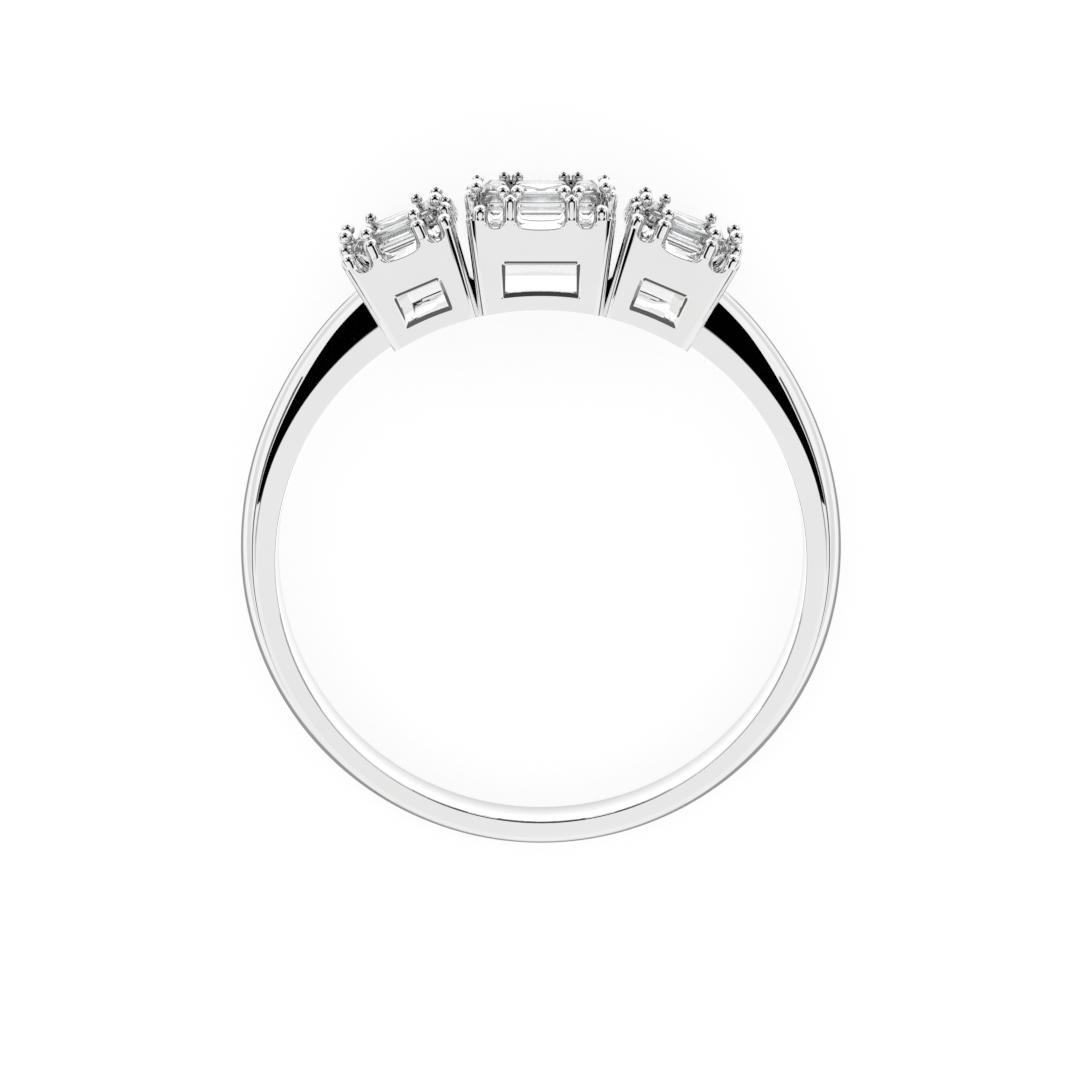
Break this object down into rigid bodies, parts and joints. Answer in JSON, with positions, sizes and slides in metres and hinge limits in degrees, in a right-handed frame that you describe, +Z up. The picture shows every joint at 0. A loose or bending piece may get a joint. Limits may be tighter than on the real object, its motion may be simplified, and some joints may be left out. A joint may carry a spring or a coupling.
{
  "type": "three stone ring",
  "caption": "Finger ring with a D-shaped band, pinched shoulders and three square box settings, each a cluster of step-cut stones held by bead claws.",
  "frame": {"origin": "middle of the ring's box in X and Y, on the surface it lies on", "axes": "+Z up from the surface, close to the finger hole's axis; +Y from the band's bottom to the settings; +X across"},
  "size_m": [0.0196, 0.0222, 0.0051],
  "materials": {
    "white_gold": "mirror-polished white gold",
    "diamond": "clear polished facets"
  },
  "bodies": {
    "root": {"metal": "white_gold", "left_stone_back_left": "diamond", "left_stone_back": "diamond", "left_stone_back_right": "diamond", "left_stone_left": "diamond", "left_stone_middle": "diamond", "left_stone_right": "diamond", "left_stone_front_left": "diamond", "left_stone_front": "diamond", "left_stone_front_right": "diamond", "centre_stone_back_left": "diamond", "centre_stone_back": "diamond", "centre_stone_back_right": "diamond", "centre_stone_left": "diamond", "centre_stone_middle": "diamond", "centre_stone_right": "diamond", "centre_stone_front_left": "diamond", "centre_stone_front": "diamond", "centre_stone_front_right": "diamond", "right_stone_back_left": "diamond", "right_stone_back": "diamond", "right_stone_back_right": "diamond", "right_stone_left": "diamond", "right_stone_middle": "diamond", "right_stone_right": "diamond", "right_stone_front_left": "diamond", "right_stone_front": "diamond", "right_stone_front_right": "diamond"}
  },
  "joints": []
}
